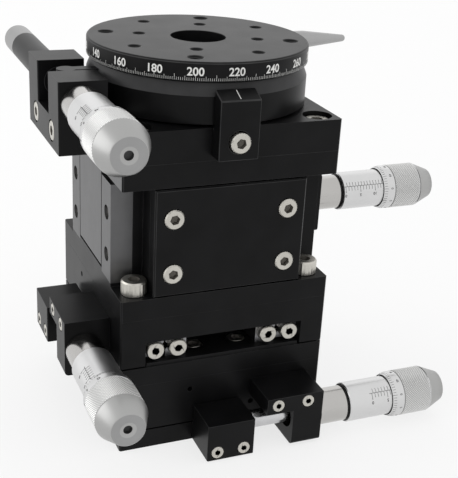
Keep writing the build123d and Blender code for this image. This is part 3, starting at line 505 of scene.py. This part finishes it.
bright_chrome = chrome("bright_chrome", (0.5, 0.49, 0.475), 0.12, 0.2 * mm, 0.0004 * mm)
satin_chrome = chrome("satin_chrome", (0.68, 0.68, 0.68), 0.26, 0.1 * mm, 0.001 * mm)
matt_chrome = chrome("matt_chrome", (0.42, 0.42, 0.415), 0.34, 0.08 * mm, 0.002 * mm)
turned_steel = chrome("turned_end_steel", (0.34, 0.34, 0.34), 0.34, 0.1 * mm, 0.0015 * mm)
# The knurl's grooves are painted darker, as the shade that falls in them, and are also made rougher.
grip_finish = Finish("knurled_grip_chrome", Metallic=1.0)
groove = grip_finish.node("ShaderNodeAttribute", {"attribute_name": "groove"}, output="Fac")
groove_shade = grip_finish.spread(groove, 0.45, 1.0)
grip_finish.set("Base Color", grip_finish.mixed(groove_shade, (0.76, 0.76, 0.75), (0.38, 0.38, 0.38)))
grip_finish.set("Roughness", 0.34 + groove_shade * 0.2)
knurled_chrome = grip_finish.material
# The groove between stem and sleeve and the hole in the thimble's end are painted near black, a little
# mottled, as the shade inside them.
recess_shade_paint = Finish("painted_recess_shade")
recess_mottle = recess_shade_paint.noise(1 * mm)
recess_shade_paint.set("Base Color", recess_shade_paint.mixed(recess_mottle, (0.02, 0.02, 0.02), (0.05, 0.05, 0.05)))
recess_shade_paint.set("Roughness", 0.4 + 0.1 * recess_shade_paint.noise(0.5 * mm))
painted_recess_shade = recess_shade_paint.material
spindle_steel = ground_steel("spindle_steel", (0.62, 0.62, 0.63), 0.14, 0.06 * mm, (1, 1, 1))
engraving = Finish("black_engraving", Roughness=0.6)
ink = engraving.noise(0.5 * mm)
engraving.set("Base Color", engraving.mixed(ink, (0.012, 0.012, 0.012), (0.035, 0.035, 0.035)))
scale_black = engraving.material

# Heights along a head are from the stem's shoulder, which lies against the clamp block.
bore_radius = 2.6 * mm
shank_radius = 3.9 * mm
shank_length = 7.3 * mm
stem_radius = 5.1 * mm
stem_end = 8.7 * mm
neck_radius = 4.5 * mm
sleeve_radius = 5.7 * mm
sleeve_start = 9.3 * mm
sleeve_travel = 13.2 * mm
datum_middle = 6.2 * mm  # above the scale's zero
datum_length = 14.0 * mm
sleeve_figure = 1.25 * mm
figure_from_datum = 2.75 * mm
thimble_edge = 23.0 * mm
thimble_bore = 6.0 * mm
edge_radius = 6.08 * mm
bevel_end = 24.7 * mm
band_radius = 6.65 * mm
thimble_radius = 6.75 * mm
thimble_divisions = 50
thimble_figure = 1.05 * mm
figures_from_seat = 25.45 * mm
grip_start = 26.8 * mm
grip_end = 35.2 * mm
grip_turns = 120
grip_rows = 24
grip_depth = 0.09 * mm
spindle_root = 37.5 * mm
root_step = 36.4 * mm
thimble_end = 41.1 * mm


def stroke(shape, place, width, length, depth=0.03 * mm):
    """An engraved line as a thin filled strip, half sunk in its surface."""
    bmesh.ops.create_cube(shape, size=1, matrix=place @ Matrix.Diagonal((width, length, depth, 1)))


def figures(shape, text, size, bold, settle):
    """Adds plain figures to a mesh, half sunk in its surface. settle moves each point of the text
    to its place there."""
    letters = bpy.data.curves.new("figures", "FONT")
    letters.body = text
    letters.size = size
    letters.offset = bold
    letters.extrude = 0.02 * mm
    letters.align_x = "CENTER"
    letters.align_y = "CENTER"
    flat = bpy.data.objects.new("figures", letters)
    bpy.context.scene.collection.objects.link(flat)
    mesh = bpy.data.meshes.new_from_object(flat.evaluated_get(bpy.context.evaluated_depsgraph_get()))
    bpy.data.objects.remove(flat)
    for vert in mesh.vertices:
        vert.co = settle(vert.co)
    shape.from_mesh(mesh)


def add_marks(shape, marks, slot):
    """Adds engraved lines or figures to a mesh, all in one material slot."""
    for face in marks.faces:
        face.material_index = slot
    mesh = bpy.data.meshes.new("marks")
    marks.to_mesh(mesh)
    marks.free()
    shape.from_mesh(mesh)


def on_round(radius, turn, height):
    """Settles text on a cylinder about Z: its right goes round, and its top goes up."""

    def settle(point):
        angle = turn + point.x / radius
        reach = radius + point.z
        return Vector((reach * math.cos(angle), reach * math.sin(angle), height + point.y))

    return settle


def beside_datum(height):
    """Settles a figure beside the datum line, its top pointing away from the line."""

    def settle(point):
        angle = figure_from_datum / sleeve_radius + point.y / sleeve_radius
        reach = sleeve_radius + point.z
        return Vector((reach * math.cos(angle), reach * math.sin(angle), height - point.x))

    return settle


def sleeve(zero):
    """Shank, stem and graduated sleeve, about Z, with its datum line on the X side. A groove parts
    the stem from the sleeve, painted near black as the shade in it, and the scale starts at the zero's
    height."""
    shape = bmesh.new()
    lathed(
        shape,
        [
            (bore_radius, -shank_length),
            (shank_radius, -shank_length),
            (shank_radius, 0),
            (stem_radius - 0.2 * mm, 0),
            (stem_radius, 0.2 * mm),
            (stem_radius, stem_end - 0.2 * mm),
            (stem_radius - 0.2 * mm, stem_end),
            (neck_radius, stem_end),
            (neck_radius, sleeve_start),
            (sleeve_radius - 0.25 * mm, sleeve_start),
            (sleeve_radius, sleeve_start + 0.25 * mm),
            (sleeve_radius, zero + sleeve_travel),
            (bore_radius, zero + sleeve_travel),
            (bore_radius, -shank_length),
        ],
        steps=96,
    )
    smooth(shape)
    stem_slot, sleeve_slot, groove_slot, scale_slot = range(4)
    for face in shape.faces:
        middle = face.calc_center_median()
        along_groove = stem_end - 0.05 * mm < middle.z < sleeve_start + 0.05 * mm
        if along_groove and middle.xy.length < stem_radius:
            face.material_index = groove_slot
        else:
            face.material_index = sleeve_slot if middle.z > stem_end else stem_slot
    lines = bmesh.new()
    datum_place = Matrix.Translation((sleeve_radius, 0, zero + datum_middle))
    lengthways = Matrix.Rotation(math.pi / 2, 4, "Y") @ Matrix.Rotation(math.pi / 2, 4, "Z")
    stroke(lines, datum_place @ lengthways, 0.12 * mm, datum_length)
    for half in range(27):
        height = zero + half * 0.5 * mm
        length = (1.9 if half % 10 == 0 else 1.3) * mm
        turn = (length / 2 if half % 2 == 0 else -length / 2) / sleeve_radius
        place = Matrix.Rotation(turn, 4, "Z") @ Matrix.Translation((sleeve_radius, 0, height))
        stroke(lines, place @ Matrix.Rotation(math.pi / 2, 4, "Y"), 0.11 * mm, length)
    add_marks(shape, lines, scale_slot)
    numbered = bmesh.new()
    for number in (0, 5, 10):
        figures(numbered, str(number), sleeve_figure, 0.02 * mm, beside_datum(zero + number * mm))
    add_marks(shape, numbered, scale_slot)
    return shape


def thimble():
    """The thimble about Z: bevelled scale, smooth band, diamond knurled grip and coned end."""
    shape = bmesh.new()
    grip_length = grip_end - grip_start
    rows = [grip_start + grip_length * row / grip_rows for row in range(grip_rows + 1)]
    lathed(
        shape,
        [
            (0, spindle_root),
            (bore_radius, spindle_root),
            (bore_radius, root_step),
            (thimble_bore, root_step),
            (thimble_bore, thimble_edge),
            (edge_radius, thimble_edge),
            (band_radius, bevel_end),
            (band_radius, grip_start - 0.35 * mm),
            (6.45 * mm, grip_start - 0.25 * mm),
            (6.45 * mm, grip_start - 0.1 * mm),
            *((thimble_radius, height) for height in rows),
            (6.5 * mm, grip_end + 0.1 * mm),
            (6.5 * mm, grip_end + 0.3 * mm),
            (6.72 * mm, grip_end + 0.45 * mm),
            (4.5 * mm, thimble_end - 0.15 * mm),
            (4.3 * mm, thimble_end),
            (2.1 * mm, thimble_end),
            (1.6 * mm, thimble_end - 0.3 * mm),
            (1.15 * mm, thimble_end - 0.3 * mm),
            (1.1 * mm, thimble_end - 1.4 * mm),
            (0, thimble_end - 1.5 * mm),
        ],
        steps=grip_turns,
    )
    row_height = grip_length / grip_rows
    grooves = []
    # The grooves' corners are marked, so that the grip's finish can paint shade in them.
    groove_mark = shape.verts.layers.float.new("groove")
    for vert in shape.verts:
        row = (vert.co.z - grip_start) / row_height
        turn = round(math.atan2(vert.co.y, vert.co.x) / (2 * math.pi) * grip_turns)
        on_grip = -0.5 < row < grip_rows + 0.5 and vert.co.xy.length > 6.7 * mm
        if on_grip and (turn + round(row)) % 2:
            grooves.append(vert)
    bmesh.ops.connect_verts(shape, verts=grooves)
    for vert in grooves:
        vert[groove_mark] = 1
        vert.co.xy *= 1 - 2 * grip_depth / thimble_radius
    smooth(shape)
    cone_slot, band_slot, scale_slot, hole_slot, grip_slot, end_slot = range(6)
    for face in shape.faces:
        middle = face.calc_center_median()
        reach = middle.xy.length
        on_grip = grip_start < middle.z < grip_end and reach > 6.3 * mm
        face.smooth = not on_grip
        if on_grip:
            face.material_index = grip_slot
        elif reach > 5.9 * mm and not grip_start - 0.1 * mm < middle.z < grip_end + 0.1 * mm:
            on_ring = grip_end < middle.z < grip_end + 0.45 * mm
            face.material_index = band_slot if on_ring or middle.z < grip_start else cone_slot
        # The hole in the end takes the painted shade.
        elif middle.z > thimble_end - 1.6 * mm and reach < 1.14 * mm:
            face.material_index = hole_slot
        elif middle.z > thimble_end - 0.05 * mm:
            face.material_index = end_slot
    lines = bmesh.new()
    slope = math.atan2(band_radius - edge_radius, bevel_end - thimble_edge)
    for number in range(thimble_divisions):
        place = (
            Matrix.Rotation(2 * math.pi * number / thimble_divisions, 4, "Z")
            @ Matrix.Translation((6.3 * mm, 0, thimble_edge + 0.66 * mm))
            @ Matrix.Rotation(math.pi / 2 + slope, 4, "Y")
        )
        length = (1.3 if number % 5 == 0 else 0.9) * mm
        stroke(lines, place @ Matrix.Rotation(math.pi / 2, 4, "Z"), 0.1 * mm, length)
    for number in range(0, thimble_divisions, 5):
        settle = on_round(band_radius, 2 * math.pi * number / thimble_divisions, figures_from_seat)
        figures(lines, str(number), thimble_figure, 0.015 * mm, settle)
    add_marks(shape, lines, scale_slot)
    return shape


def micrometer_head(name, away, datum, zero):
    """Shows one head's three pieces. Its place comes from the thimble's box."""
    low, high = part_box(f"{name}_head_thimble")
    seat = (low + high) / 2 - away * ((thimble_edge + thimble_end) / 2)
    place = facing(seat, away, datum)
    barrel = sleeve(zero)
    bmesh.ops.transform(barrel, matrix=place, verts=barrel.verts)
    barrel_piece = shown(barrel, f"{name}_sleeve", bright_chrome, satin_chrome, painted_recess_shade, scale_black)
    stands_for(barrel_piece, f"{name}_head_barrel")
    grip = thimble()
    bmesh.ops.transform(grip, matrix=place @ thimble_turn, verts=grip.verts)
    grip_finishes = (matt_chrome, satin_chrome, scale_black, painted_recess_shade, knurled_chrome, turned_steel)
    grip_piece = shown(grip, f"{name}_thimble", *grip_finishes)
    stands_for(grip_piece, f"{name}_head_thimble")
    refinish(f"{name}_head_spindle", spindle_steel)


# The thimble's edge stands half way along three of the scales, and at the far end of the lift's.
thimble_turn = Matrix.Rotation(0.3, 4, "Z")
half_out = 16.5 * mm
fully_out = 10.0 * mm
micrometer_head("x", right, (up - back).normalized(), half_out)
micrometer_head("y", -back, (up - right).normalized(), half_out)
micrometer_head("lift", right, (up - 1.6 * back).normalized(), fully_out)
micrometer_head("turn", -back, (up - right).normalized(), half_out)

# ---------------------------------------------------------------- housing of the lift
# A milled housing with a flange, pillars and a right wall, closed by two thin covers. Four M4 cap
# screws hold it at the corners, in notches beside the pillars.
broken_edges("lift_housing", black, worn_black)
for node in ("lift_front_cover", "lift_rear_cover"):
    broken_edges(node, black, worn_black, 0.15 * mm)
broken_edges("lift_head_clamp", black, worn_black, block_edge)

cover_x = 16.0 * mm
cover_seat = 27.6 * mm
cover_heights = (52.5 * mm, 67.9 * mm)
strip_x = -27.2 * mm
strip_y = 16.0 * mm
strip_heights = (54.0 * mm, 66.0 * mm)
corner = 25.0 * mm
flange_top = 46.0 * mm
lift_clamp_seat = 35.6 * mm
lift_clamp_y = 5.2 * mm
lift_clamp_heights = (52.8 * mm, 65.2 * mm)
corners = [(-corner, -corner), (-corner, corner), (corner, -corner), (corner, corner)]

housing_screws = []
for side in (-1, 1):
    for height in cover_heights:
        housing_screws.append((m3_screw, Vector((-cover_x, side * cover_seat, height)), back * side))
    for height in strip_heights:
        housing_screws.append((m2_screw, Vector((strip_x, side * strip_y, height)), -right))
    for height in cover_heights:
        housing_screws.append((m3_screw, Vector((cover_x, side * cover_seat, height)), back * side))
screw_set("lift_housing_screws", housing_screws)
screw_set("lift_corner_screws", [(m4_screw, Vector((x, y, flange_top)), up) for x, y in corners])
clamp_seats = [(side * lift_clamp_y, height) for side in (-1, 1) for height in lift_clamp_heights]
screw_set(
    "lift_clamp_screws", [(m2_screw, Vector((lift_clamp_seat, y, z)), right) for y, z in clamp_seats]
)

# ---------------------------------------------------------------- guide, wedge and springs of the lift
# The table's leg runs up and down between two ground guide strips on crossed rollers, while a
# hardened wedge on needle rollers pushes the table up against two springs.
guide_steel = ground_steel("ground_guide_steel", (0.16, 0.16, 0.163), 0.38, 0.14 * mm, (1, 1, 60))
leg_front = -20.0 * mm
table_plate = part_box("turn_base")[0].z - 6.6 * mm
lift_springs_x = 2.0 * mm
lift_springs_y = 12.5 * mm
lift_springs_foot = 48.4 * mm
lift_spring_pitch = 1.54 * mm
lift_spring_turns = 18


def on_leg(face):
    """The leg's ground faces, which end under the table's plate."""
    middle = face.calc_center_median()
    return middle.z < table_plate and middle.x < leg_front


broken_edges("lift_guide_strips", guide_steel, guide_steel, 0.2 * mm)
broken_edges("lift_table", black, worn_black, 0.28 * mm, guide_steel, on_leg)
refinish("lift_guide_rollers", roller_steel)
refinish("lift_floor_rollers", roller_steel)
refinish("lift_wedge", rail_steel)
shape = bmesh.new()
for side in (-1, 1):
    foot = Vector((lift_springs_x, side * lift_springs_y, lift_springs_foot))
    wound_wire(shape, foot, up, coil_radius, lift_spring_pitch, lift_spring_turns, wire_radius)
smooth(shape)
piece = shown(shape, "lift_springs_piece", spring_wire)
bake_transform(piece)
takes_place(piece, "lift_springs")

# ---------------------------------------------------------------- base and bearing of the rotation stage
# A square plate screwed to the table through deep counterbores. A spigot on it carries a crossed
# roller bearing, and a block on its front edge carries the index line.
broken_edges("turn_base", black, worn_black)
refinish("turn_bearing", roller_steel)
broken_edges("index_block", black, worn_black, 0.35 * mm)
counterbore_floor = 86.6 * mm
bracket_side = -39.6 * mm
bracket_screws_y = 9.0 * mm
bracket_screws_height = 87.0 * mm
index_x = -1.3 * mm
index_front = -33.4 * mm
index_screw_height = 89.0 * mm

turn_screws = [(m4_screw, Vector((x, y, counterbore_floor)), up) for x, y in corners]
for y in (-bracket_screws_y, bracket_screws_y):
    turn_screws.append((m3_screw, Vector((bracket_side, y, bracket_screws_height)), -right))
turn_screws.append((m3_screw, Vector((index_x, index_front, index_screw_height)), -back))
screw_set("turn_base_screws", turn_screws)

# ---------------------------------------------------------------- bracket and plunger of the fine drive
# A U-shaped block holds the micrometer in front of the ring's arm and a spring plunger behind it.
# The plunger's tube is black, and its cap is bare metal with a rounded end.
broken_edges("turn_bracket", black, worn_black, block_edge)
broken_edges("plunger_body", black, worn_black, 0.3 * mm)
broken_edges("plunger_cap", turned_steel, turned_steel, 0.2 * mm)
refinish("plunger_pin", spindle_steel)

# ---------------------------------------------------------------- clamp ring and lever
# The ring grips the dial's hub, and its arm is pushed by the micrometer. A turned steel lever on a
# stud at the back tightens it.
# The ring's faces that slope up get a lighter black than the rest: painted light, standing in for the light
# from above that they catch.
ring_cone = anodised("ring_cone_painted_light", (0.03, 0.03, 0.031), (0.045, 0.045, 0.046), 0.34)


def on_cone(face):
    """The ring's turned faces, which slope outwards and up; they take a lighter black, painted as light from
    above.
    """
    return 0.2 < face.normal.z < 0.9


broken_edges("clamp_ring", black, worn_black, 0.2 * mm, ring_cone, on_cone, crease=18)
lever_steel = chrome("turned_lever_steel", (0.4, 0.4, 0.4), 0.3, 0.1 * mm, 0.001 * mm)
broken_edges("clamp_lever", lever_steel, lever_steel, 0.2 * mm)

# ---------------------------------------------------------------- dial
# The dial is turned from aluminium and anodised black. Its rim has a line at every degree and a
# figure at every twenty, engraved and filled with white paint.
broken_edges("dial", black, worn_black, 0.15 * mm)
paint = Finish("white_filling", Roughness=0.55)
paint.set("Base Color", paint.mixed(paint.noise(0.6 * mm, 3.0), (0.62, 0.62, 0.6), (0.82, 0.82, 0.8)))
white_paint = paint.material

dial_radius = 30.0 * mm
dial_figure = 2.9 * mm
figures_height = 105.45 * mm
lines_foot = 103.3 * mm
line_width = 0.08 * mm
turn_of_200 = -111.5  # where the 200 stands, in degrees from the right of the dial
zero_turn = math.radians(turn_of_200 - 200)
shape = bmesh.new()
for degree in range(360):
    length = (1.5 if degree % 10 == 0 else 1.1 if degree % 5 == 0 else 0.7) * mm
    place = (
        Matrix.Rotation(zero_turn + math.radians(degree), 4, "Z")
        @ Matrix.Translation((dial_radius, 0, lines_foot + length / 2))
        @ Matrix.Rotation(math.pi / 2, 4, "Y")
    )
    stroke(shape, place @ Matrix.Rotation(math.pi / 2, 4, "Z"), line_width, length)
for number in range(0, 360, 20):
    settle = on_round(dial_radius, zero_turn + math.radians(number), figures_height)
    figures(shape, str(number), dial_figure, 0.06 * mm, settle)
marks = shown(shape, "dial_scale", white_paint)
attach(marks, "dial")

# ---------------------------------------------------------------- index line
# One line is engraved in the sloping top of the index block, opposite the dial's scale, and filled
# with the same white paint.
index_slope = math.atan2(1.9, 4.5)
index_middle = Vector((index_x, -32.75 * mm, 100.65 * mm))
index_width = 0.2 * mm
index_length = 3.6 * mm
index_depth = 0.04 * mm
shape = bmesh.new()
place = Matrix.Translation(index_middle) @ Matrix.Rotation(index_slope, 4, "X")
stroke(shape, place, index_width, index_length, index_depth)
index_line = shown(shape, "index_line", white_paint)
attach(index_line, "z_stage")

# ---------------------------------------------------------------- floor and light
# A pale seamless floor, a soft light over the left shoulder, one behind for the top faces, and an
# even pale sky.
white_share = 0.75  # how much plain white is mixed into the floor as it is seen
floor_finish = Finish("pale_floor", Roughness=0.9)
pale = floor_finish.mixed(floor_finish.noise(40 * mm, 2.0), (0.93, 0.93, 0.93), (0.95, 0.95, 0.95))
floor_finish.set("Base Color", pale)
glow = floor_finish.node("ShaderNodeEmission", None, {"Color": (1, 1, 1, 1), "Strength": 1.0})
lit = Value(floor_finish, floor_finish.surface.outputs[0])
both = floor_finish.node(
    "ShaderNodeMixShader", None, {0: floor_finish.direct_view() * white_share, 1: lit, 2: glow}
)
floor_finish.fill(floor_finish.tree.nodes["Material Output"].inputs["Surface"], both)
floor_reach = 3.0
shape = bmesh.new()
bmesh.ops.create_grid(shape, x_segments=2, y_segments=2, size=floor_reach)
shown(shape, "floor", floor_finish.material)


def softbox(name, place, aim, width, height, power):
    """A soft light of this width and height in metres, turned to its aim."""
    light = bpy.data.lights.new(name, "AREA")
    light.shape = "RECTANGLE"
    light.size = width
    light.size_y = height
    light.energy = power
    lamp = bpy.data.objects.new(name, light)
    lamp.location = place
    lamp.rotation_euler = (Vector(aim) - Vector(place)).to_track_quat("-Z", "Y").to_euler()
    bpy.context.scene.collection.objects.link(lamp)


stack_middle = (0, 0, 0.055)
softbox("left_softbox", (-0.85, 0.25, 0.35), stack_middle, 1.0, 0.8, 3.0)
softbox("back_softbox", (0.3, 0.85, 0.5), stack_middle, 1.1, 0.7, 0.4)

world = bpy.data.worlds.new("studio")
world.use_nodes = True
bpy.context.scene.world = world
sky = Nodes(world.node_tree)
backdrop = world.node_tree.nodes["Background"]
backdrop.inputs["Color"].default_value = (1, 1, 1, 1)
even_light = 0.9
sky.fill(backdrop.inputs["Strength"], even_light + sky.direct_view() * (1 - even_light))

# ---------------------------------------------------------------- camera
# It stands to the left of the front and above, where all four micrometer heads are seen. Its lens
# and shift are given in pixels of the frame.
focal_pixels = 1029.4
frame_width = 458
shift_right = -5.63
shift_up = 10.32
camera_place = Vector((-0.0997, -0.2596, 0.1667))
camera_data = bpy.data.cameras.new("camera")
camera_data.sensor_fit = "HORIZONTAL"
camera_data.sensor_width = 36
camera_data.lens = focal_pixels * camera_data.sensor_width / frame_width
camera_data.shift_x = shift_right / frame_width
camera_data.shift_y = shift_up / frame_width
camera_data.clip_start = 0.01
camera = bpy.data.objects.new("camera", camera_data)
view_right = Vector((0.9232, -0.3805, 0.0533))
view_up = Vector((0.1070, 0.3880, 0.9154))
view_back = Vector((-0.3690, -0.8395, 0.3989))
camera_turn = Matrix((view_right, view_up, view_back)).transposed().to_4x4()
camera.matrix_world = Matrix.Translation(camera_place) @ camera_turn
bpy.context.scene.collection.objects.link(camera)
bpy.context.scene.camera = camera
bpy.context.scene.view_settings.view_transform = "Standard"
